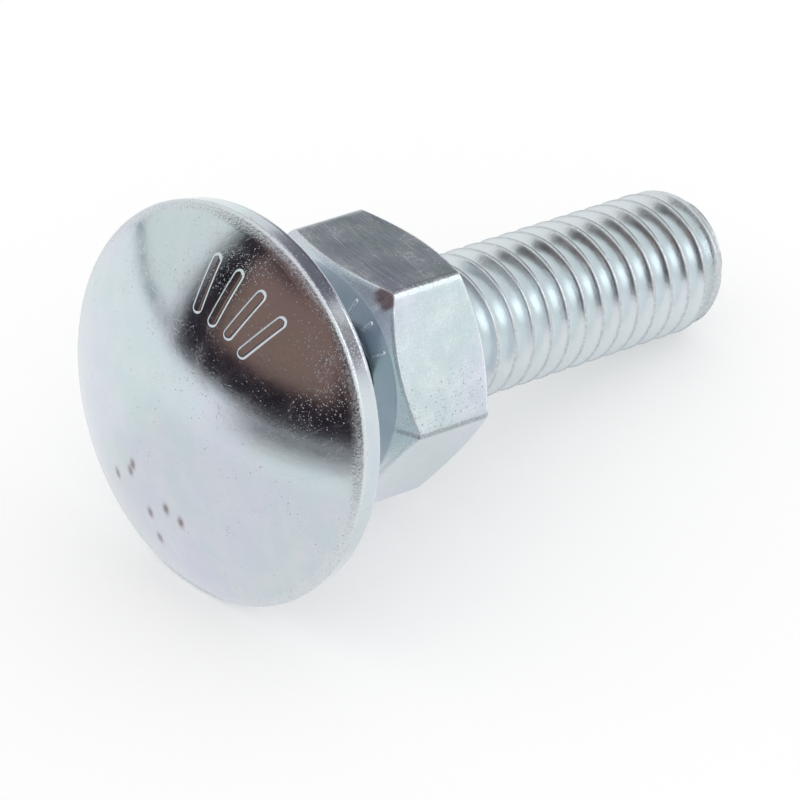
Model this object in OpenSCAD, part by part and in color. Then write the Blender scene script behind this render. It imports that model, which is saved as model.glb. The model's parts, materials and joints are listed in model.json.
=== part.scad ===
// Cup-head square-neck bolt with a hexagon nut, lying on the rim of its head and the end of its thread.
// The bolt is one forged and rolled piece. The nut is run up the thread against the square neck.

/* [Head] */
// Diameter of the head, at the edge of the dome
head_d = 16; // [13:0.1:20]
// Whole height of the head, from its underside to the top of the dome
head_h = 3.4; // [2.4:0.1:4.6]
// Height of the plain land round the head, below the dome
rim_h = 1; // [0.6:0.05:1.6]
// How much smaller the radius is at the underside than at the edge of the dome
rim_draft = 0.1; // [0:0.05:0.2]
// Radius of the rounded edge round the underside
rim_round = 0.2; // [0.1:0.05:0.4]
// Radius of the rounded edge between the dome and the land
dome_round = 0.2; // [0.05:0.05:0.4]

/* [Square neck] */
// Width of the square neck across its flats
neck_w = 5.9; // [5.6:0.05:7]
// Length of the square neck, from the underside of the head
neck_l = 3.9; // [2.5:0.1:6]
// How far each corner of the neck is rounded back, along its diagonal
neck_corner_cut = 0.3; // [0.1:0.05:0.4]
// Length of the slope at the end of the neck's corners
neck_slope_l = 0.6; // [0.2:0.05:1]

/* [Thread] */
// Length of the bolt, from the underside of the head to the end of the thread
bolt_l = 25; // [16:0.5:60]
// Major diameter of the thread, over its crests
thread_d = 5.95; // [5.7:0.01:6.2]
// Pitch of the thread, which is single and right-handed
pitch = 1; // [0.75:0.05:1.25]
// Plain length between the neck and the first turn of the thread
relief_l = 0.25; // [0.1:0.05:1]
// Diameter of the flat end of the bolt
end_d = 4; // [3:0.1:4.6]
// Length over which the end of the thread is rounded off
end_l = 1.6; // [0.8:0.1:2.5]
// Shortest length between the last turn of the thread and the flat end
tip_l = 0.1; // [0.05:0.05:0.5]
// Flat faces in one turn of the thread
turn_faces = 30; // [18:1:36]

/* [Nut] */
// Width of the nut across its flats
nut_w = 9.8; // [9:0.05:11]
// Thickness of the nut
nut_h = 4.75; // [3.5:0.05:6.5]
// Diameter of the round face at each end of the nut
nut_face_d = 9.3; // [8.4:0.05:10]
// Slope of the chamfer over the nut's corners, in degrees from its end face
nut_chamfer = 30; // [15:1:35]
// Depth of the countersink at each end of the hole
nut_sink = 0.4; // [0.2:0.05:0.8]
// Play between the nut's hole and the crests of the thread, all round
nut_play = 0.03; // [0.02:0.01:0.08]
// Gap between the nut and the end of the neck
nut_gap = 0.05; // [0.02:0.01:2]
// Angle of the nut's first corner about the bolt, from the lowest line of the thread
nut_turn = 32; // [0:1:59]

/* [Hidden] */

zinc = [0.78, 0.80, 0.84];
round_fn = 96;
overlap = 0.5; // how deep joined solids of one piece reach into each other

// Head
head_r = head_d / 2;
rim_r = head_r - rim_draft;
dome_h = head_h - rim_h;
dome_r = (head_r * head_r + dome_h * dome_h) / (2 * dome_h);
dome_z = dome_r - head_h; // height of the middle of the dome's sphere
head_turn = 2; // the head lies on a facet of its rim, and not on the corner between two

// Middle of the rounded edge of the dome, which touches the widest line of the land and the dome
edge_x = head_r - dome_round;
edge_rise = sqrt(pow(dome_r - dome_round, 2) - edge_x * edge_x);
edge_z = dome_z - edge_rise;
edge_turn = atan2(edge_rise, edge_x);

// Neck
neck_corner_r = neck_w * sqrt(2) / 2 - neck_corner_cut;

// Thread, with flanks at 60 degrees to each other, its crest an eighth of the pitch
crest_r = thread_d / 2;
thread_depth = 0.6134 * pitch;
root_r = crest_r - thread_depth;
flank_w = thread_depth * tan(30);
crest_w = pitch / 8;
blank_r = crest_r - 0.3248 * pitch; // the rod before rolling has the pitch diameter
thread_z = neck_l + relief_l;
rise = pitch / turn_faces;
run_in = 1.5 * turn_faces; // steps over which the thread reaches its full depth
end_r = end_d / 2;
steps = floor((bolt_l - pitch - tip_l - thread_z) / rise);

// One pitch of the profile: how far along the bolt, and at what radius
profile = [
    [0, root_r],
    [flank_w, crest_r],
    [flank_w + crest_w, crest_r],
    [2 * flank_w + crest_w, root_r]
];
corners = len(profile);

// Radius that the rounded end allows at a height along the bolt
function end_limit(z) =
    let (u = min(1, max(0, (bolt_l - z) / end_l)))
    end_r + (crest_r - end_r) * sqrt(1 - (1 - u) * (1 - u));

// Point of the thread at a step round the helix and a corner of the profile
function thread_point(k, j) =
    let (
        z = thread_z + k * rise + profile[j][0],
        depth = min(1, k / run_in),
        r = min(blank_r + (profile[j][1] - blank_r) * depth, end_limit(z)),
        a = 360 * k / turn_faces
    )
    [r * cos(a), r * sin(a), z];

// Where that point stands in the list of points
function at(k, j) = k * corners + j;

helix = [for (k = [0:steps]) for (j = [0:corners - 1]) thread_point(k, j)];

// Ring of points with one for each flat face of a turn, from step k0 on
function ring(r, z, k0) = [
    for (i = [0:turn_faces - 1])
        let (a = 360 * (k0 + i) / turn_faces)
        [r * cos(a), r * sin(a), z]
];

// How the bolt lies. It leans on the rounded edge of the rim until its thread or its nut meets the surface.
// For a point z along the bolt and u below its axis, the lean at which that point touches:
function lean_to(z, u) =
    let (a = rim_r - rim_round - u, b = z + rim_round)
    atan2(a, b) + asin(rim_round / norm([a, b]));

nut_z = neck_l + nut_gap;
nut_corner_r = nut_w / sqrt(3);
nut_bore_r = crest_r + nut_play;
nut_chamfer_l = (nut_corner_r - nut_face_d / 2) * tan(nut_chamfer);
nut_edge_z = nut_z + nut_h - nut_chamfer_l; // how far along the bolt the nut's corners reach
sink_l = nut_sink + overlap; // the cone of the countersink starts outside the nut
thread_lean = min([for (p = helix) lean_to(p[2], p[0])]);
nut_lean = min([for (i = [0:5]) lean_to(nut_edge_z, nut_corner_r * cos(nut_turn + 60 * i))]);
lean = min(thread_lean, nut_lean);

// The underside of the head, and the middle of the whole bolt, above the surface
head_z = (rim_r - rim_round) * cos(lean) + rim_round * (1 - sin(lean));
dome_x = dome_z * cos(lean) - dome_r;
tip_x = bolt_l * cos(lean) + end_r * sin(lean);
head_x = -(dome_x + tip_x) / 2;

// Lays a piece modelled along +Z, with its lowest line on +X, on the surface
module lay() {
    translate([head_x, 0, head_z])
        rotate([0, 90 + lean, 0])
            children();
}

// Arc of a profile, from one angle to another
function arc(x, y, r, a0, a1, n) = [
    for (i = [0:n])
        let (a = a0 + (a1 - a0) * i / n)
        [x + r * cos(a), y + r * sin(a)]
];

// Domed head: a plain land round the edge, a cap of a sphere above it, and a rounded edge between them
module head() {
    rotate([0, 0, head_turn])
        intersection() {
            union() {
                rotate_extrude($fn = round_fn)
                    polygon(concat(
                        [[0, 0]],
                        arc(rim_r - rim_round, -rim_round, rim_round, 90, 0, 6),
                        [[head_r, edge_z], [head_r, -rim_h], [0, -rim_h]]
                    ));
                intersection() {
                    translate([0, 0, dome_z])
                        sphere(r = dome_r, $fn = round_fn);
                    translate([0, 0, -head_h - overlap])
                        cylinder(r = head_r, h = dome_h + overlap, $fn = round_fn);
                }
            }
            rotate_extrude($fn = round_fn)
                polygon(concat(
                    [[0, overlap], [head_r + overlap, overlap], [head_r + overlap, edge_z]],
                    arc(edge_x, edge_z, dome_round, 0, -edge_turn, 6),
                    [[0, edge_z - dome_round / sin(edge_turn) - edge_x / tan(edge_turn)]]
                ));
        }
}

// Square neck, its corners rounded back and sloped off at the end
module neck() {
    intersection() {
        translate([-neck_w / 2, -neck_w / 2, -overlap])
            cube([neck_w, neck_w, neck_l + overlap]);
        union() {
            translate([0, 0, -overlap])
                cylinder(r = neck_corner_r, h = neck_l + overlap - neck_slope_l, $fn = round_fn);
            translate([0, 0, neck_l - neck_slope_l])
                cylinder(r1 = neck_corner_r, r2 = neck_w / 2, h = neck_slope_l, $fn = round_fn);
        }
    }
}

// Threaded rod: one helical surface from inside the neck to the rounded end
module thread() {
    foot = len(helix);
    tip = foot + turn_faces;
    last = steps - turn_faces;
    n = turn_faces;
    points = concat(helix, ring(blank_r, neck_l / 2, 0), ring(end_r, bolt_l, last));
    // Crest and flanks
    ridge = [for (k = [0:steps - 1]) for (j = [0:corners - 2])
        each [[at(k, j), at(k, j + 1), at(k + 1, j + 1)], [at(k, j), at(k + 1, j + 1), at(k + 1, j)]]];
    // Root between one turn and the next
    root = [for (k = [0:last - 1])
        each [[at(k, 3), at(k + n, 0), at(k + 1 + n, 0)], [at(k, 3), at(k + 1 + n, 0), at(k + 1, 3)]]];
    // Plain rod up to the first turn, closed at the step where the helix starts
    start = [for (i = [0:n - 2])
        each [[foot + i, at(i, 0), at(i + 1, 0)], [foot + i, at(i + 1, 0), foot + i + 1]]];
    start_chain = [foot + n - 1, at(n, 0), at(0, 3), at(0, 2), at(0, 1), at(0, 0), foot];
    start_step = [for (i = [1:len(start_chain) - 2]) [at(n - 1, 0), start_chain[i], start_chain[i + 1]]];
    start_corner = [[at(n - 1, 0), foot, foot + n - 1]];
    // From the last turn to the flat end
    finish = [for (i = [1:n - 1])
        let (next = tip + (i + 1) % n)
        each [[at(last + i, 3), tip + i, next], [at(last + i, 3), next, at(last + i + 1, 3)]]];
    finish_chain = [at(last, 3), at(steps, 0), at(steps, 1), at(steps, 2), at(steps, 3), tip, tip + 1];
    finish_step = [for (i = [0:len(finish_chain) - 2])
        [at(last + 1, 3), finish_chain[i], finish_chain[i + 1]]];
    foot_face = [[for (i = [0:n - 1]) foot + i]];
    tip_face = [[for (i = [n - 1:-1:0]) tip + i]];
    start_faces = concat(start, start_step, start_corner, foot_face);
    finish_faces = concat(finish, finish_step, tip_face);
    polyhedron(points = points, faces = concat(ridge, root, start_faces, finish_faces), convexity = 10);
}

// The whole bolt is one piece
module bolt() {
    color(zinc)
        lay() {
            head();
            neck();
            thread();
        }
}

// Hexagon nut, chamfered at both ends, its hole clear of the crests of the thread
module nut() {
    color(zinc)
        lay()
            translate([0, 0, nut_z])
                difference() {
                    intersection() {
                        rotate([0, 0, nut_turn])
                            cylinder(r = nut_corner_r, h = nut_h, $fn = 6);
                        rotate_extrude($fn = round_fn)
                            polygon([
                                [0, 0],
                                [nut_face_d / 2, 0],
                                [nut_corner_r, nut_chamfer_l],
                                [nut_corner_r + overlap, nut_chamfer_l],
                                [nut_corner_r + overlap, nut_h - nut_chamfer_l],
                                [nut_corner_r, nut_h - nut_chamfer_l],
                                [nut_face_d / 2, nut_h],
                                [0, nut_h]
                            ]);
                    }
                    translate([0, 0, -overlap])
                        cylinder(r = nut_bore_r, h = nut_h + 2 * overlap, $fn = round_fn);
                    translate([0, 0, -overlap])
                        cylinder(r1 = nut_bore_r + sink_l, r2 = nut_bore_r, h = sink_l, $fn = round_fn);
                    translate([0, 0, nut_h - nut_sink])
                        cylinder(r1 = nut_bore_r, r2 = nut_bore_r + sink_l, h = sink_l, $fn = round_fn);
                }
}

bolt();
nut();
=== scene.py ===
import json
import math

import bmesh
import bpy
import numpy as np
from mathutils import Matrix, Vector


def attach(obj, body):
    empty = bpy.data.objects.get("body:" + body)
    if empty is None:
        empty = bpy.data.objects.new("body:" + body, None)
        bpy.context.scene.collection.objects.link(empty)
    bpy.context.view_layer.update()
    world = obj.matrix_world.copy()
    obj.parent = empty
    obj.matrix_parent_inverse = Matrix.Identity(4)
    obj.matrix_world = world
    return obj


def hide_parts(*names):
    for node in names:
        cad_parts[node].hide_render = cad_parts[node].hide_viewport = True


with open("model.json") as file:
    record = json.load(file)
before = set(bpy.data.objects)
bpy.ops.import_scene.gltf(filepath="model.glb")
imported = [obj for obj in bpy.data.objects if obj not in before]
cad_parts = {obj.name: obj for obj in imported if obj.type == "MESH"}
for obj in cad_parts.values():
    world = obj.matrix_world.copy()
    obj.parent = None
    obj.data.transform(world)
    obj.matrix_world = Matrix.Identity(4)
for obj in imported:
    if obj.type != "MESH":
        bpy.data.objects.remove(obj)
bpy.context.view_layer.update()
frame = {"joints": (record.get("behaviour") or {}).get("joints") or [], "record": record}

MM = 0.001

# Sizes of the part, in millimetres, as in its source
HEAD_R = 8.0
HEAD_H = 3.4
RIM_H = 1.0
RIM_R = 7.9
RIM_ROUND = 0.2
DOME_ROUND = 0.2
NECK_W = 5.9
NECK_L = 3.9
NECK_CORNER_R = 3.872
NECK_SLOPE_L = 0.6
BOLT_L = 25.0
CREST_R = 2.975
ROOT_R = 2.3616
PITCH = 1.0
THREAD_Z = 4.15
FLANK_W = 0.3541
CREST_W = 0.125
END_R = 2.0
END_L = 1.6
NUT_Z = 3.95
NUT_H = 4.75
NUT_W = 9.8
NUT_FACE_R = 4.65
NUT_CHAMFER = math.tan(math.radians(30))
NUT_SINK = 0.4
NUT_TURN = 32.0

# Sizes that only this script has, in millimetres
DOME_H = HEAD_H - RIM_H
DOME_R = (HEAD_R ** 2 + DOME_H ** 2) / (2 * DOME_H)
NECK_EDGE_ROUND = 0.25
NECK_FILLET = 0.25
# Radius of the rod before its thread is rolled, and the height at which the rod leaves the neck
BLANK_R = CREST_R - 0.3248 * PITCH
ROD_FOOT_Z = NECK_L + 0.06
END_FACE_Z = BOLT_L - 0.02
END_CROWN = 0.02
BORE_PLAY = 0.03
THREAD_PLAY = 0.045
NUT_THREAD_R = ROOT_R + 0.16
NUT_CORNER_CUT = 0.05
NUT_EDGE_ROUND = 0.06

# Points round the head and round the thread
HEAD_N = 288
THREAD_N = 144

# Plain raised bars on the dome, each from one point across it to another
HEAD_BARS = [
    (-6.35, 0.30, -4.55, 0.22),
    (-6.25, -0.95, -4.40, -0.68),
    (-5.95, -2.20, -4.25, -1.57),
    (-5.40, -3.40, -3.85, -2.42),
]
# Short plain ticks on the nut's front face, each at an angle and between two radii
NUT_TICKS = (203.0, 217.0, 233.0)
TICK_R = (3.75, 4.40)
# Width, height and width of the rounded side of a bar and of a tick
BAR_SHAPE = (0.50, 0.07, 0.11)
TICK_SHAPE = (0.16, 0.06, 0.05)

# The bolt's own frame: +Z along the bolt from the underside of its head, +X to its lowest line
record = frame["record"]
axis = Vector(frame["joints"][0]["axis"]).normalized()
bearing = next(m for m in record["mounts"] if m["name"] == "head_bearing")
origin = np.array(Vector((bearing["pos_m"][0], 0.0, bearing["pos_m"][2])))
side = Vector((0.0, 1.0, 0.0))
basis = np.array([side.cross(axis), side, axis])


def placed(points):
    """Points of the bolt's own frame, in millimetres, as points of the part's frame in metres."""
    return np.asarray(points) @ basis * MM + origin


def own_places(obj):
    """Places of a piece's points in the bolt's own frame, in millimetres: radius, angle and height."""
    co = np.empty(len(obj.data.vertices) * 3)
    obj.data.vertices.foreach_get("co", co)
    own = (co.reshape(-1, 3) - origin) @ basis.T / MM
    return np.hypot(own[:, 0], own[:, 1]), np.arctan2(own[:, 1], own[:, 0]), own[:, 2]


def link_object(name, mesh):
    """A new object of the scene that shows a mesh."""
    obj = bpy.data.objects.new(name, mesh)
    bpy.context.scene.collection.objects.link(obj)
    return obj


def piece(name, verts, faces):
    """A mesh object, its doubled points joined and its faces turned outward."""
    mesh = bpy.data.meshes.new(name)
    mesh.from_pydata(placed(verts).tolist(), [], faces)
    bm = bmesh.new()
    bm.from_mesh(mesh)
    bmesh.ops.remove_doubles(bm, verts=bm.verts, dist=2e-7)
    bmesh.ops.recalc_face_normals(bm, faces=bm.faces)
    bm.to_mesh(mesh)
    bm.free()
    mesh.shade_smooth()
    return link_object(name, mesh)


def round_ring(phi, r, z):
    """Points at the angles phi, with a radius and a height that may change with the angle."""
    r, z = np.broadcast_to(r, phi.shape), np.broadcast_to(z, phi.shape)
    return np.stack([r * np.cos(phi), r * np.sin(phi), z], 1)


def ring_faces(a, b, n):
    """Quads between two closed rings of n points that start at a and b."""
    return [(a + i, a + (i + 1) % n, b + (i + 1) % n, b + i) for i in range(n)]


def smooth_min(a, b, k):
    """The smaller of two lengths, with the corner between them rounded over about k."""
    h = np.clip(0.5 + 0.5 * (b - a) / k, 0, 1)
    return b * (1 - h) + a * h - k * h * (1 - h)


def smooth_step(low, high, x):
    """0 at low and 1 at high, with a smooth way between; low may be the larger one."""
    t = np.clip((x - low) / (high - low), 0, 1)
    return t * t * (3 - 2 * t)


# Head and neck

def dome_z(r):
    return DOME_R - HEAD_H - np.sqrt(DOME_R ** 2 - r ** 2)


def head_and_neck():
    """Rings of points from the middle of the dome to the end of the neck, all of HEAD_N points.
    Where a ring has to keep an edge crisp, it lies close beside it."""
    phi = 2 * np.pi * np.arange(HEAD_N) / HEAD_N
    c, s = np.cos(phi), np.sin(phi)
    rings = []

    def ring(r, z):
        rings.append(round_ring(phi, r, z))

    # Rounded edge between the dome and the land, which touches both
    edge_r = HEAD_R - DOME_ROUND
    edge_rise = math.sqrt((DOME_R - DOME_ROUND) ** 2 - edge_r ** 2)
    edge_z = DOME_R - HEAD_H - edge_rise
    turn = math.atan2(edge_rise, edge_r)
    rim = edge_r + DOME_ROUND * math.cos(turn)
    for r in np.concatenate([np.linspace(0.1, rim - 0.12, 60), [rim - 0.05, rim - 0.02]]):
        ring(r, dome_z(r))
    for t in np.linspace(1, 0, 11):
        ring(edge_r + DOME_ROUND * math.cos(turn * t), edge_z - DOME_ROUND * math.sin(turn * t))
    for t in (0.05, 0.3, 0.6, 0.9, 1.0):
        ring(HEAD_R + (RIM_R - HEAD_R) * t, edge_z + (-RIM_ROUND - edge_z) * t)
    # Rounded edge of the underside
    for t in range(1, 9):
        a = t / 8 * math.pi / 2
        ring(RIM_R - RIM_ROUND * (1 - math.cos(a)), -RIM_ROUND * (1 - math.sin(a)))
    # Underside, out of which the neck rises with a small fillet
    half = NECK_W / 2
    square = half / np.maximum(np.abs(c), np.abs(s))
    neck = smooth_min(square, NECK_CORNER_R, NECK_EDGE_ROUND)
    foot = neck + NECK_FILLET
    for t in (0.03, 0.25, 0.5, 0.75, 0.97, 1.0):
        ring((RIM_R - RIM_ROUND) * (1 - t) + foot * t, 0.0)
    for t in range(1, 7):
        a = t / 6 * math.pi / 2
        ring(neck + NECK_FILLET * (1 - math.sin(a)), NECK_FILLET * (1 - math.cos(a)))
    # Sides of the neck down to the slope over its corners
    break_z = NECK_L - NECK_SLOPE_L * (neck - half) / (NECK_CORNER_R - half)
    for t in (0.05, 0.3, 0.6, 0.9, 0.98, 1.0):
        ring(neck, NECK_FILLET + (break_z - NECK_FILLET) * t)
    for t in (0.05, 0.5, 0.95):
        ring(neck + (half - 0.02 - neck) * t, break_z + (NECK_L - break_z) * t)
    ring(half - 0.04, NECK_L)
    ring(CREST_R - 0.3, NECK_L)
    return rings


# Thread

def thread_profile():
    """One pitch of the thread, root to root: places along the bolt, and radii."""
    z = np.array([0, .05, .10, .17, .27, .36, .405, .43, .445, .47, .5])
    z = np.concatenate([z, 1 - z[-2:0:-1]]) * PITCH
    # The sharp profile, averaged over a long stretch at its roots and a short one at its crests
    fine_n, root_n, crest_n = 4001, 400, 150
    fine = np.linspace(-0.5, 1.5, fine_n) * PITCH
    from_crest = np.abs((fine % PITCH) - PITCH / 2)
    raw = CREST_R - (CREST_R - ROOT_R) * np.clip((from_crest - CREST_W / 2) / FLANK_W, 0, 1)
    soft = np.convolve(raw, np.ones(root_n) / root_n, "same")
    hard = np.convolve(raw, np.ones(crest_n) / crest_n, "same")
    weight = smooth_step(0.2 * PITCH, 0.35 * PITCH, from_crest)
    return z, np.interp(z, fine, hard * (1 - weight) + soft * weight)


def end_limit(z):
    """Radius that the rounded end allows."""
    u = np.clip((BOLT_L - z) / END_L, 0, 1)
    return END_R + (CREST_R - END_R) * np.sqrt(1 - (1 - u) ** 2)


def thread_points():
    """Points of the thread in a grid that follows its helix, and the faces between them."""
    prof_z, prof_r = thread_profile()
    corners = len(prof_z)
    start = THREAD_Z + FLANK_W + CREST_W / 2 - PITCH / 2
    turns = math.ceil((BOLT_L - start) / PITCH) + 2
    steps = turns * THREAD_N
    k = np.arange(-2 * THREAD_N, steps + 1)
    a = 2 * np.pi * k / THREAD_N
    z = start + PITCH * k[:, None] / THREAD_N + prof_z[None, :]
    # The thread grows to its full depth over its first turn and a half
    depth = smooth_step(THREAD_Z - 0.2, THREAD_Z + 1.5 * PITCH, z)
    r = BLANK_R + (prof_r[None, :] - BLANK_R) * depth
    # Below the relief every point falls onto one plain ring
    r = np.where(z < ROD_FOOT_Z, BLANK_R, r)
    # Past the end every point falls onto the end face, and in the last turn onto its middle
    past = np.maximum(0, z - END_FACE_Z)
    r = np.minimum(r, end_limit(z))
    r = np.where(past > 0, END_R * np.clip(1 - past / (PITCH * 0.9), 0, 1), r)
    crown = END_CROWN * (1 - (r / END_R).clip(0, 1) ** 2)
    z = np.where(past > 0, END_FACE_Z + crown, z)
    z = np.maximum(z, ROD_FOOT_Z)
    verts = np.stack([r * np.cos(a)[:, None], r * np.sin(a)[:, None], z], 2).reshape(-1, 3)
    faces = []
    rows = len(k)
    for i in range(rows - 1):
        for j in range(corners - 1):
            p = i * corners + j
            faces.append((p, p + 1, p + 1 + corners, p + corners))
        # The last corner of a turn meets the first corner of the next one
        following = i + THREAD_N
        if following + 1 < rows:
            p, q = i * corners + corners - 1, following * corners
            faces.append((p, q, q + corners, p + corners))
    return verts, faces


def make_bolt():
    rings = head_and_neck()
    verts = [np.array([[0.0, 0.0, -HEAD_H]]), *rings]
    faces = [(0, 1 + (i + 1) % HEAD_N, 1 + i) for i in range(HEAD_N)]
    at = 1
    for _ in rings[1:]:
        faces += ring_faces(at, at + HEAD_N, HEAD_N)
        at += HEAD_N
    # The thread has half as many points round it as the head
    step = HEAD_N // THREAD_N
    foot = at + HEAD_N
    verts.append(round_ring(2 * np.pi * np.arange(THREAD_N) / THREAD_N, BLANK_R, ROD_FOOT_Z))
    for i in range(THREAD_N):
        fine = [at + (step * i + j) % HEAD_N for j in range(step + 1)]
        near, far = foot + i, foot + (i + 1) % THREAD_N
        faces += [(fine[0], fine[1], near), (fine[1], far, near), (fine[1], fine[2], far)]
    more, more_faces = thread_points()
    base = foot + THREAD_N
    verts.append(more)
    faces += [tuple(p + base for p in f) for f in more_faces]
    return piece("bolt_forging", np.concatenate(verts), faces)


# Nut

def nut_angles():
    """Angles round the nut, close together at its corners."""
    close = [0, .2, .4, .6, .8, 1.0, 1.3]
    wide = list(np.linspace(2.0, 30.0, 34))
    half = np.array(close + wide)
    sector = np.concatenate([half, 60 - half[-2:0:-1]])
    return np.radians(np.concatenate([NUT_TURN + 60 * i + sector for i in range(6)]))


def from_nut_corner(turned):
    """How far an angle lies from the nearest corner of the nut, in degrees."""
    return np.abs((turned - NUT_TURN + 30) % 60 - 30)


def hexagon_r(from_corner):
    """Radius of the nut's sharp hexagon."""
    return NUT_W / 2 / np.cos(np.radians(30 - from_corner))


def inner_thread(phi, z):
    """Radius of the nut's hole, whose thread fits the bolt's with a little play."""
    crest_z = THREAD_Z + PITCH * phi / (2 * np.pi) + FLANK_W + CREST_W / 2
    from_crest = np.abs((z - crest_z + PITCH / 2) % PITCH - PITCH / 2)
    depth = np.clip((from_crest - CREST_W / 2) / FLANK_W, 0, 1)
    raw = CREST_R + THREAD_PLAY - (CREST_R - ROOT_R) * depth
    return np.maximum(raw, NUT_THREAD_R)


def make_nut():
    phi = nut_angles()
    n = len(phi)
    corner = NUT_W / math.sqrt(3) - NUT_CORNER_CUT
    hexagon = smooth_min(hexagon_r(from_nut_corner(np.degrees(phi))), corner, NUT_EDGE_ROUND)
    mid = (hexagon - NUT_FACE_R) * NUT_CHAMFER
    mouth = CREST_R + BORE_PLAY + NUT_SINK
    rings = []

    def ring(r, z):
        rings.append(round_ring(phi, r, NUT_Z + z))

    def end_stations():
        """Radii and depths from the mouth of the hole to the side, at one end."""
        out = []
        for t in np.linspace(0, 1, 22):
            out.append((mouth + 0.05 + (NUT_FACE_R - 0.09 - mouth) * t, 0.0))
        out.append((NUT_FACE_R - 0.01, 0.004))
        for t in (0.04, 0.1, 0.3, 0.5, 0.7, 0.9, 0.96):
            out.append((NUT_FACE_R + (hexagon - NUT_FACE_R) * t, mid * t))
        return out + [(hexagon - 0.012, mid), (hexagon, mid + 0.03), (hexagon, mid + 0.08)]

    for r, z in end_stations():
        ring(r, z)
    for t in (0.1, 0.25, 0.4, 0.55, 0.7, 0.85, 0.95):
        ring(hexagon, mid + 0.08 + (NUT_H - 2 * mid - 0.16) * t)
    for r, z in reversed(end_stations()):
        ring(r, NUT_H - z)
    # Countersink and thread, back down through the hole
    ring(mouth + 0.01, NUT_H - 0.012)
    for z in np.linspace(NUT_H - 0.05, 0.05, 72):
        sink = mouth - min(z, NUT_H - z)
        ring(np.maximum(inner_thread(phi, NUT_Z + z), sink), z)
    ring(mouth + 0.01, 0.012)
    faces = []
    for i in range(len(rings)):
        faces += ring_faces(i * n, ((i + 1) % len(rings)) * n, n)
    return piece("nut_forging", np.concatenate(rings), faces)


# Bars and ticks

def on_dome(xy, lift):
    """Points that stand on the dome, lifted along its normal."""
    r = np.hypot(xy[:, 0], xy[:, 1])
    z = dome_z(r) - lift * np.sqrt(1 - (r / DOME_R) ** 2)
    return np.column_stack([xy * (1 + lift / DOME_R), z])


def on_nut(xy, lift):
    """Points that stand on the nut's front face."""
    return np.column_stack([xy, np.full(len(xy), NUT_Z - lift)])


def make_bar(name, ends, shape, on):
    """A raised bar with round ends and rounded sides, on a surface."""
    x0, y0, x1, y1 = ends
    width, height, edge = shape
    along = math.atan2(y1 - y0, x1 - x0)
    spine, normal = [], []
    for x, y, far_x, far_y, first in ((x1, y1, x0, y0, -90), (x0, y0, x1, y1, 90)):
        for i in range(13):
            a = along + math.radians(first + 15 * i)
            spine.append((x, y))
            normal.append((math.cos(a), math.sin(a)))
        for t in (0.12, 0.25, 0.375, 0.5, 0.625, 0.75, 0.88):
            spine.append((x + (far_x - x) * t, y + (far_y - y) * t))
            normal.append(normal[-1])
    spine, normal = np.array(spine), np.array(normal)
    half = width / 2
    # From the foot, just inside the surface, over the rounded side to the middle of the top
    stations = [(0.12 * half, -0.6), (0, 0), (-0.25 * edge, 0.42), (-0.5 * edge, 0.75),
                (-0.75 * edge, 0.93), (-edge, 1), (-1.25 * edge, 1), (-half, 1)]
    across = [on(spine + normal * (half + out), rise * height) for out, rise in stations]
    # Under side, inside the piece that carries the bar
    across += [on(spine + normal * half, -2 * height), on(spine, -2 * height)]
    n = len(spine)
    last = len(across) - 1
    faces = []
    for i in range(len(stations) - 1):
        faces += ring_faces(i * n, (i + 1) * n, n)
    faces += ring_faces((last - 1) * n, 0, n) + ring_faces(last * n, (last - 1) * n, n)
    return piece(name, np.concatenate(across), faces)


def tick_ends(turn):
    """Ends of a tick that points away from the nut's middle."""
    c, s = math.cos(math.radians(turn)), math.sin(math.radians(turn))
    return TICK_R[0] * c, TICK_R[0] * s, TICK_R[1] * c, TICK_R[1] * s


# Where the pieces are worn, dirty and dull, and where shade is painted on them, kept as attributes of
# their points for the materials

MARKS = ("wear", "grime", "pitted", "rolled", "dull", "stain")

# Patches of the dome that are full of pits: place, size and strength
KNOCKS = [(-4.4, -6.2, 1.2, 1.1, 1.0), (-6.4, -0.6, 1.0, 1.6, 0.8), (-2.6, -5.4, 1.4, 0.8, 0.5)]
# Small dark dents low on the dome, and their size
DENTS = [(4.4, 3.5), (3.2, 2.2), (3.6, 2.4), (5.0, 1.3), (4.2, 0.2), (4.4, -0.6), (6.1, 1.0)]
DENT_SIZE = (0.20, 0.13)
# Radius outside which the head's underside is plain
UNDERSIDE_R = 4.0

# Angles of the two corners of the nut that the photo's right face lies between, in degrees
STAINED_CORNER = NUT_TURN + 180
LOW_CORNER = NUT_TURN + 240


def add_marks(obj, **marks):
    """Keeps, for a piece's material, how much of each kind of wear, dirt and painted shade its points
    show.
    """
    for kind in MARKS:
        layer = obj.data.attributes.new(kind, "FLOAT", "POINT")
        amount = np.broadcast_to(marks.get(kind, 0.0), len(obj.data.vertices))
        layer.data.foreach_set("value", np.clip(amount, 0, 1).astype(np.float32))


def blob(x, y, at_x, at_y, size_x, size_y):
    """A soft patch round a place, 1 in its middle."""
    return np.exp(-((x - at_x) / size_x) ** 2 - ((y - at_y) / size_y) ** 2)


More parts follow.
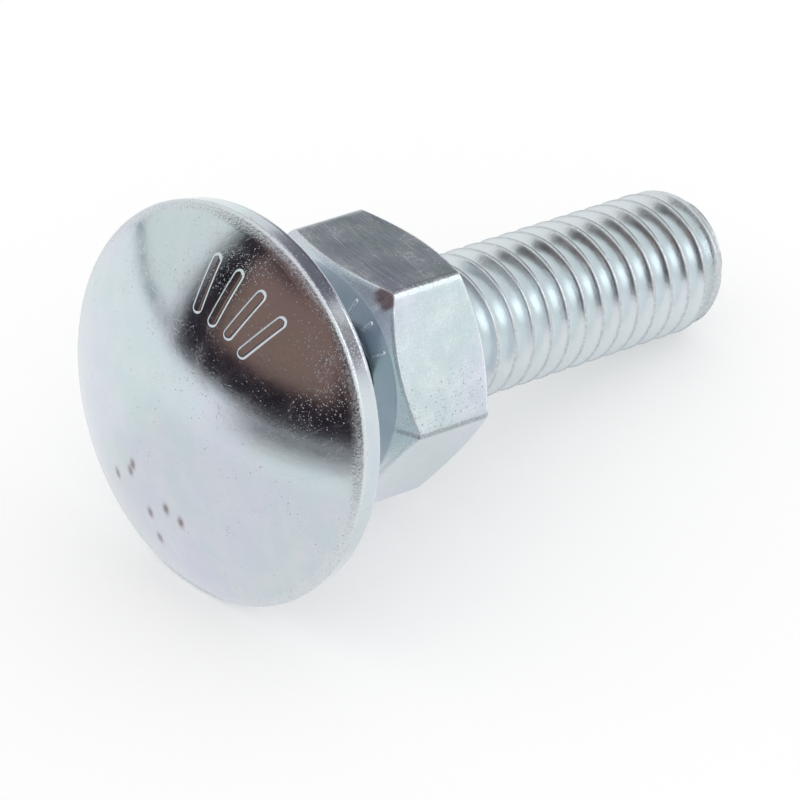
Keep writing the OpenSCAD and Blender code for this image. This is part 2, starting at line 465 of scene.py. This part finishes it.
def mark_bolt(obj):
    r, a, z = own_places(obj)
    x, y = r * np.cos(a), r * np.sin(a)
    on_head = z < 0
    on_thread = z > NECK_L + 0.1
    dome_edge = smooth_step(7.50, 7.82, r) * smooth_step(-0.84, -0.93, z)
    land_edge = smooth_step(7.66, 7.8, r) * smooth_step(-0.28, -0.15, z) * on_head
    # The crests are darkened as painted shade, so that each one shows as a dark line
    crests = smooth_step(CREST_R - 0.07, CREST_R - 0.025, r) * on_thread
    # The end's flat face is calmer than the round edge about it
    end_face = smooth_step(BOLT_L - 0.06, BOLT_L - 0.02, z) * smooth_step(END_R + 0.1, END_R - 0.05, r)
    tip = smooth_step(BOLT_L - 1.4, BOLT_L - 0.6, z) * (1 - 0.7 * end_face)
    underside = smooth_step(-0.05, 0.0, z) * (r > UNDERSIDE_R)
    knocks = np.maximum.reduce([strength * blob(x, y, *patch) for *patch, strength in KNOCKS]) * on_head
    dents = 1.6 * np.maximum.reduce([blob(x, y, *dent, *DENT_SIZE) for dent in DENTS]) * on_head
    add_marks(
        obj,
        wear=np.maximum.reduce([dome_edge, 0.6 * land_edge, 0.55 * tip]),
        # Painted shade on the crests, dirt at the tip, and darker dents
        grime=np.maximum.reduce([0.7 * crests * (1 - tip), 0.7 * tip, dents]),
        pitted=np.maximum.reduce([knocks, 0.3 * dome_edge, 0.8 * tip]),
        rolled=on_thread,
        dull=np.maximum(0.8 * underside, 0.6 * end_face),
        stain=0.6 * dents,
    )


def mark_nut(obj):
    r, a, z = own_places(obj)
    turned = np.degrees(a) % 360
    from_corner = from_nut_corner(turned)
    chamfer_z = (hexagon_r(from_corner) - NUT_FACE_R) * NUT_CHAMFER
    height = np.minimum(z - NUT_Z, NUT_Z + NUT_H - z)
    outside = smooth_step(NUT_FACE_R - 0.05, NUT_FACE_R + 0.15, r)
    corner_wear = smooth_step(1.5, 0.6, from_corner) * outside
    chamfer_wear = smooth_step(0.10, 0.02, np.abs(height - chamfer_z)) * outside
    # The face on the photo's right is pitted toward its lower edge, and that edge is dark
    past, short = turned - STAINED_CORNER, LOW_CORNER - turned
    low_part = smooth_step(26, 54, past) * smooth_step(-4, 0, short) * outside
    low_edge = smooth_step(1.6, 0.7, np.abs(short)) * outside
    front_line = smooth_step(2, 10, past) * smooth_step(-4, 2, short)
    # A small brown stain lies on the chamfer at one corner
    on_chamfer = smooth_step(0.06, 0.0, height - chamfer_z) * (z < NUT_Z + NUT_H / 2)
    from_stain = np.abs(past + 0.6)
    corner_stain = smooth_step(5.6, 4.2, from_stain) * smooth_step(5.00, 5.12, r) * on_chamfer
    front_face = smooth_step(4.75, 4.65, r) * smooth_step(0.05, 0.0, z - NUT_Z)
    add_marks(
        obj,
        wear=np.maximum(0.8 * corner_wear * (1 - low_edge), chamfer_wear),
        grime=np.maximum.reduce([low_edge, 0.5 * chamfer_wear * front_line, 0.12 * low_part]),
        pitted=np.maximum(low_part, low_edge),
        dull=front_face,
        stain=corner_stain,
    )


# Materials

class Graph:
    """Short ways to add nodes to a material."""

    # Places of a Mix node's two colour inputs and of its colour output
    MIX_A, MIX_B, MIX_OUT = 6, 7, 2

    def __init__(self, name):
        self.material = bpy.data.materials.new(name)
        self.material.use_nodes = True
        self.tree = self.material.node_tree
        self.shader = self.tree.nodes["Principled BSDF"]
        coord = self.tree.nodes.new("ShaderNodeTexCoord")
        self.coord = coord.outputs["Object"]

    def link(self, source, socket):
        """Sets a socket to a number or a colour, or links it to another node's output."""
        if isinstance(source, (int, float)):
            socket.default_value = source
        elif isinstance(source, tuple):
            socket.default_value = (*source, 1.0)
        else:
            self.tree.links.new(source, socket)

    def mapping(self, scale, turn=(0, 0, 0), shift=(0, 0, 0)):
        """The object's coordinates in millimetres, turned and then stretched."""
        first = self.tree.nodes.new("ShaderNodeMapping")
        first.inputs["Scale"].default_value = (1 / MM, 1 / MM, 1 / MM)
        first.inputs["Rotation"].default_value = [math.radians(v) for v in turn]
        first.inputs["Location"].default_value = shift
        self.link(self.coord, first.inputs["Vector"])
        second = self.tree.nodes.new("ShaderNodeMapping")
        second.inputs["Scale"].default_value = scale
        self.link(first.outputs[0], second.inputs["Vector"])
        return second.outputs[0]

    def noise(self, vector, scale, detail=2.0, rough=0.5, distort=0.0):
        n = self.tree.nodes.new("ShaderNodeTexNoise")
        self.link(vector, n.inputs["Vector"])
        n.inputs["Scale"].default_value = scale
        n.inputs["Detail"].default_value = detail
        n.inputs["Roughness"].default_value = rough
        n.inputs["Distortion"].default_value = distort
        return n.outputs["Fac"]

    def mark(self, kind):
        """How much of one kind of mark (wear, dirt, painted shade) the piece's points show."""
        n = self.tree.nodes.new("ShaderNodeAttribute")
        n.attribute_name = kind
        return n.outputs["Fac"]

    def dots(self, vector, scale, share):
        """Dots of uneven size, one at most in each cell, in as many cells as share says, from 0 to 1."""
        n = self.tree.nodes.new("ShaderNodeTexVoronoi")
        self.link(vector, n.inputs["Vector"])
        n.inputs["Scale"].default_value = scale
        size = self.span(n.outputs["Color"], 0.2, 0.8, 0.10, 0.27)
        inside = self.span(self.maths("DIVIDE", n.outputs["Distance"], size), 0.7, 1.2, 1.0, 0.0)
        shown = self.span(self.maths("ADD", n.outputs["Color"], share), 1.0, 1.04)
        return self.maths("MULTIPLY", inside, shown)

    def streaks(self, seed, turn, length, fine, low, high):
        """Thin straight scratches along one direction, 1 in a scratch and 0 outside."""
        vector = self.mapping((fine, 1 / length, fine), turn=turn, shift=(seed, 2.3 * seed, 0.7 * seed))
        return self.span(self.noise(vector, 1.0, 1.0, 0.35), low, high)

    def span(self, value, low, high, to_low=0.0, to_high=1.0):
        """Maps a value from one range to another, clamped."""
        n = self.tree.nodes.new("ShaderNodeMapRange")
        self.link(value, n.inputs["Value"])
        for name, v in zip(("From Min", "From Max", "To Min", "To Max"), (low, high, to_low, to_high)):
            n.inputs[name].default_value = v
        return n.outputs["Result"]

    def maths(self, operation, a, b):
        n = self.tree.nodes.new("ShaderNodeMath")
        n.operation = operation
        self.link(a, n.inputs[0])
        self.link(b, n.inputs[1])
        return n.outputs[0]

    def times(self, a, b):
        return self.maths("MULTIPLY", a, b)

    def blend(self, factor, a, b):
        """The colour a where factor is 0, and b where it is 1."""
        n = self.tree.nodes.new("ShaderNodeMix")
        n.data_type = "RGBA"
        self.link(factor, n.inputs["Factor"])
        self.link(a, n.inputs[self.MIX_A])
        self.link(b, n.inputs[self.MIX_B])
        return n.outputs[self.MIX_OUT]

    def bump(self, height, distance, below=None):
        """The normal that a height in metres gives, on top of another normal."""
        n = self.tree.nodes.new("ShaderNodeBump")
        self.link(height, n.inputs["Height"])
        n.inputs["Distance"].default_value = distance
        if below is not None:
            self.link(below, n.inputs["Normal"])
        return n.outputs["Normal"]


GREEN_TINT = (0.60, 0.70, 0.72)
VIOLET_TINT = (0.63, 0.67, 0.76)
PLAIN_TINT = (0.72, 0.75, 0.78)
ROLLED_TINT = (0.80, 0.86, 0.88)
WORN_COLOUR = (0.80, 0.82, 0.84)
PIT_COLOUR = (0.30, 0.32, 0.35)
# Colour of grime, and of painted shade on the thread's crests
GRIME_AND_SHADE_COLOUR = (0.30, 0.33, 0.36)
STAIN_COLOUR = (0.20, 0.13, 0.12)
# Heights of the surface's small forms, in metres
WAVE_H = 5e-6
ROLLED_H = 5e-6
PIT_H = 5e-6
SCRATCH_H = 2.0e-6
WANDER_H = 0.9e-6
WEAR_H = 2.4e-5


def zinc(name, seed, rough, grain, scratched, brushed, pit_scale, few_pits, pit_dark):
    """Bright zinc plating: pale bluish metal with faint tints, pits, grain and fine scratches.
    grain is the height of its grain in metres, scratched and brushed are shares from 0 to 1, pit_scale
    is how many pits lie on a millimetre, few_pits their share where nothing marks the piece, and
    pit_dark how dark they are."""
    g = Graph(name)
    plain = g.mapping((1, 1, 1), shift=(seed, seed, 0))
    wear, grime, rolled = g.mark("wear"), g.mark("grime"), g.mark("rolled")
    # Tints of the passivated layer
    wide = g.noise(plain, 0.21, 3.0, 0.55)
    tint = g.blend(g.span(wide, 0.38, 0.62), GREEN_TINT, VIOLET_TINT)
    spots = g.noise(plain, 0.9, 4.0, 0.6)
    tint = g.blend(g.span(spots, 0.42, 0.7, 0.0, 0.5), tint, PLAIN_TINT)
    tint = g.blend(g.times(rolled, 0.8), tint, ROLLED_TINT)
    # Small pits, a few everywhere, many where the piece is knocked about, and hardly any on the thread
    patches = g.span(g.noise(plain, 0.8, 2.0), 0.35, 0.70, -0.12, 0.12)
    share = g.maths("ADD", g.maths("ADD", g.times(g.mark("pitted"), 0.46), patches), few_pits)
    share = g.maths("SUBTRACT", share, g.times(rolled, 0.25))
    pits = g.maths("MAXIMUM", g.dots(plain, pit_scale, share), g.dots(plain, 1.9 * pit_scale, share))
    # Straight scratches, and fine marks that wander, both faint on the thread
    calm = g.span(rolled, 0.0, 1.0, 1.0, 0.25)
    lines = g.streaks(seed + 3, (0, 0, 12), 2.2, 16.0, 0.70, 0.78)
    lines = g.maths("MAXIMUM", lines, g.streaks(seed + 11, (30, 15, -35), 1.2, 18.0, 0.72, 0.80))
    lines = g.times(g.times(lines, scratched), calm)
    bend = g.maths("ABSOLUTE", g.maths("SUBTRACT", g.noise(plain, 1.5, 3.0, 0.6, 0.6), 0.5), 0.0)
    wander = g.times(g.span(bend, 0.002, 0.008, 1.0, 0.0), g.span(spots, 0.50, 0.60))
    wander = g.times(wander, calm)
    brush = g.noise(g.mapping((15, 0.4, 15), turn=(0, 0, 4), shift=(seed, 0, 0)), 1.0, 2.0, 0.6)
    brush = g.times(g.span(brush, 0.35, 0.70), brushed)
    # Wear, and grime with painted shade on the crests, both ragged
    rugged = g.noise(plain, 9.0, 3.0, 0.65)
    worn = g.times(wear, g.span(rugged, 0.34, 0.60))
    grime = g.times(grime, g.span(rugged, 0.32, 0.58, 0.35, 1.0))
    # How much each of them adds to the roughness
    dull = g.span(spots, 0.3, 0.7, rough - 0.03, rough + 0.05)
    for part, amount in ((worn, 0.22), (pits, 0.40), (rolled, 0.09), (g.mark("dull"), 0.15),
                         (grime, 0.10), (brush, 0.05), (wander, 0.07), (lines, 0.18)):
        dull = g.maths("ADD", dull, g.times(part, amount))
    g.link(dull, g.shader.inputs["Roughness"])
    colour = g.blend(g.times(worn, 0.6), tint, WORN_COLOUR)
    colour = g.blend(g.times(pits, pit_dark), colour, PIT_COLOUR)
    # Darker where grime lies, and on the thread's crests as painted shade
    colour = g.blend(g.times(grime, 0.8), colour, GRIME_AND_SHADE_COLOUR)
    colour = g.blend(g.times(g.mark("stain"), 0.85), colour, STAIN_COLOUR)
    g.link(colour, g.shader.inputs["Base Color"])
    normal = g.bump(g.noise(plain, 1.1, 2.0, 0.5), WAVE_H)
    normal = g.bump(g.times(g.noise(plain, 2.6, 3.0, 0.6), rolled), ROLLED_H, normal)
    normal = g.bump(g.noise(plain, 11.0, 3.0, 0.6), grain, normal)
    normal = g.bump(g.times(pits, -1.0), PIT_H, normal)
    normal = g.bump(g.times(g.maths("MAXIMUM", lines, brush), -1.0), SCRATCH_H, normal)
    normal = g.bump(g.times(wander, -1.0), WANDER_H, normal)
    normal = g.bump(g.times(rugged, wear), WEAR_H, normal)
    g.link(normal, g.shader.inputs["Normal"])
    g.shader.inputs["Metallic"].default_value = 1.0
    return g.material


bolt = make_bolt()
nut = make_nut()
bars = [make_bar(f"head_bar_{i + 1}", ends, BAR_SHAPE, on_dome) for i, ends in enumerate(HEAD_BARS)]
ticks = [make_bar(f"nut_tick_{i + 1}", tick_ends(turn), TICK_SHAPE, on_nut)
         for i, turn in enumerate(NUT_TICKS)]

mark_bolt(bolt)
mark_nut(nut)
for bar in bars:
    add_marks(bar)
for tick in ticks:
    add_marks(tick, wear=0.7)

bolt_zinc = zinc("zinc_bolt", seed=0.0, rough=0.13, grain=0.8e-6, scratched=0.5, brushed=0.0,
                 pit_scale=10.5, few_pits=0.11, pit_dark=0.55)
nut_zinc = zinc("zinc_nut", seed=40.0, rough=0.16, grain=1.4e-6, scratched=1.0, brushed=1.0,
                pit_scale=6.5, few_pits=0.03, pit_dark=0.7)
for obj in (bolt, *bars):
    obj.data.materials.append(bolt_zinc)
for obj in (nut, *ticks):
    obj.data.materials.append(nut_zinc)

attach(bolt, "bolt")
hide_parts("bolt")
for bar in bars:
    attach(bar, "bolt")
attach(nut, "nut")
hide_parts("nut")
for tick in ticks:
    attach(tick, "nut")


# Stage, in metres and degrees

FLOOR_HALF = 3.0
FLOOR_GREY = 0.72
# Light that the floor adds for the camera and for mirroring surfaces, so that it shows as white
FLOOR_GLOW = 0.36
# Height of the point that the panels are placed around
EYE = 0.008
# Points of a panel's grid across it and up it
PANEL_N = (48, 32)


def stage_piece(name, verts, faces):
    """A piece of the stage whose material has only an output: the object, its nodes and its links."""
    mesh = bpy.data.meshes.new(name)
    mesh.from_pydata(verts, [], faces)
    material = bpy.data.materials.new(name)
    material.use_nodes = True
    mesh.materials.append(material)
    nodes = material.node_tree.nodes
    nodes.clear()
    nodes.new("ShaderNodeOutputMaterial")
    return link_object(name, mesh), nodes, material.node_tree.links


def floor():
    h = FLOOR_HALF
    corners = [(-h, -h, 0), (h, -h, 0), (h, h, 0), (-h, h, 0)]
    obj, nodes, links = stage_piece("floor", corners, [(0, 1, 2, 3)])
    diffuse = nodes.new("ShaderNodeBsdfDiffuse")
    diffuse.inputs["Color"].default_value = (FLOOR_GREY, FLOOR_GREY, FLOOR_GREY, 1)
    path = nodes.new("ShaderNodeLightPath")
    seen = path.outputs["Is Camera Ray"]
    for kind in ("Is Glossy Ray", "Is Transmission Ray"):
        either = nodes.new("ShaderNodeMath")
        either.operation = "MAXIMUM"
        links.new(seen, either.inputs[0])
        links.new(path.outputs[kind], either.inputs[1])
        seen = either.outputs[0]
    strength = nodes.new("ShaderNodeMath")
    strength.operation = "MULTIPLY"
    strength.inputs[1].default_value = FLOOR_GLOW
    links.new(seen, strength.inputs[0])
    glow = nodes.new("ShaderNodeEmission")
    links.new(strength.outputs[0], glow.inputs["Strength"])
    add = nodes.new("ShaderNodeAddShader")
    links.new(diffuse.outputs[0], add.inputs[0])
    links.new(glow.outputs[0], add.inputs[1])
    links.new(add.outputs[0], nodes["Material Output"].inputs["Surface"])


def edge_cover(t, span, first, second):
    """How near a share t of a span lies to the span's nearer end, 0 at it and 1 past its soft edge."""
    nearer = min(t / first, (1 - t) / second) * span
    return smooth_step(0, 1, min(1, nearer))


def panel(name, az, el, far, colour, soft, above=0.0005):
    """A dark or bright panel that only gloss sees, between two bearings and two heights in degrees.
    far is its distance, soft the widths in degrees of its two sides and of its lower and upper edge.
    Below the horizon it lies over the floor, as high as above says."""
    across, rows = PANEL_N
    az_span, el_span = az[1] - az[0], el[1] - el[0]
    verts, cover = [], []
    for j in range(rows + 1):
        for i in range(across + 1):
            u, v = i / across, j / rows
            a = math.radians(az[0] + az_span * u)
            e = math.radians(el[0] + el_span * v)
            reach = min(far, (EYE - above) / math.tan(-e)) if e < 0 else far
            verts.append((reach * math.cos(a), reach * math.sin(a), EYE + reach * math.tan(e)))
            sides = edge_cover(u, az_span, soft[0], soft[1])
            ends = edge_cover(v, el_span, soft[2], soft[3])
            cover.append(float(sides * ends))
    row = across + 1
    faces = [(j * row + i, j * row + i + 1, (j + 1) * row + i + 1, (j + 1) * row + i)
             for j in range(rows) for i in range(across)]
    obj, nodes, links = stage_piece(name, verts, faces)
    layer = obj.data.attributes.new("cover", "FLOAT", "POINT")
    layer.data.foreach_set("value", cover)
    edge = nodes.new("ShaderNodeAttribute")
    edge.attribute_name = "cover"
    clear = nodes.new("ShaderNodeBsdfTransparent")
    glow = nodes.new("ShaderNodeEmission")
    glow.inputs["Color"].default_value = (*colour, 1)
    mix = nodes.new("ShaderNodeMixShader")
    links.new(edge.outputs["Fac"], mix.inputs["Fac"])
    links.new(clear.outputs[0], mix.inputs[1])
    links.new(glow.outputs[0], mix.inputs[2])
    links.new(mix.outputs[0], nodes["Material Output"].inputs["Surface"])
    obj.visible_camera = False
    obj.visible_diffuse = False
    obj.visible_shadow = False


floor()
# The dark room beyond the table, which reaches down to the table's near edge
panel("room", (134, 225), (-4.2, 50), 0.11, (0.022, 0.015, 0.022), (9, 12, 5, 10))
panel("low_room", (160, 228), (-5.2, 2), 0.10, (0.026, 0.018, 0.026), (16, 14, 5, 3), above=0.0006)
panel("near_edge", (158, 228), (-11.0, -2), 0.10, (0.15, 0.14, 0.16), (22, 14, 7, 3))
# The slightly darker table on the near side of the head
panel("shade", (138, 240), (-62, -8), 0.09, (0.90, 0.88, 0.89), (20, 16, 16, 6), above=0.0004)
# Brown wood in the room
panel("wood", (150, 199), (7, 37), 0.095, (0.265, 0.167, 0.140), (6, 7, 5, 6))
# A dark beam above a grey wall, and the wall's lower part
panel("beam", (-16, 32), (26, 50), 0.55, (0.08, 0.08, 0.09), (10, 10, 4, 12))
panel("wall", (-12, 50), (11, 48), 0.6, (0.19, 0.19, 0.21), (8, 10, 7, 10))
panel("foot", (-34, 26), (2, 22), 0.5, (0.33, 0.29, 0.30), (8, 12, 5, 5))
# The grey line between the table and what lies beyond it
panel("gap", (92, 137), (-3, 3.5), 0.16, (0.40, 0.42, 0.45), (8, 3, 3, 3))
# The soft window light on the right
panel("light", (-78, -16), (8, 46), 0.7, (2.0, 2.04, 2.07), (10, 8, 6, 10))

WORLD_GREY = 0.9
world = bpy.data.worlds.new("studio")
bpy.context.scene.world = world
world.use_nodes = True
background = world.node_tree.nodes["Background"]
background.inputs["Color"].default_value = (WORLD_GREY, WORLD_GREY, WORLD_GREY, 1)
background.inputs["Strength"].default_value = 1.0

# Camera, placed by the fit of the photo's perspective
CAMERA_PLACE = (-0.13355, -0.13814, 0.14323)
CAMERA_BEARING = math.radians(46.407)
CAMERA_TILT = math.radians(-36.271)
LENS_MM = 270.0
FILM_MM = 36.0

camera_data = bpy.data.cameras.new("camera")
camera_data.lens = LENS_MM
camera_data.sensor_width = FILM_MM
camera_data.clip_start = 0.01
camera_data.clip_end = 20.0
camera = link_object("camera", camera_data)
camera.location = CAMERA_PLACE
level = math.cos(CAMERA_TILT)
look = Vector((level * math.cos(CAMERA_BEARING), level * math.sin(CAMERA_BEARING), math.sin(CAMERA_TILT)))
camera.rotation_euler = look.to_track_quat("-Z", "Y").to_euler()
bpy.context.scene.camera = camera

bpy.context.scene.view_settings.view_transform = "Standard"
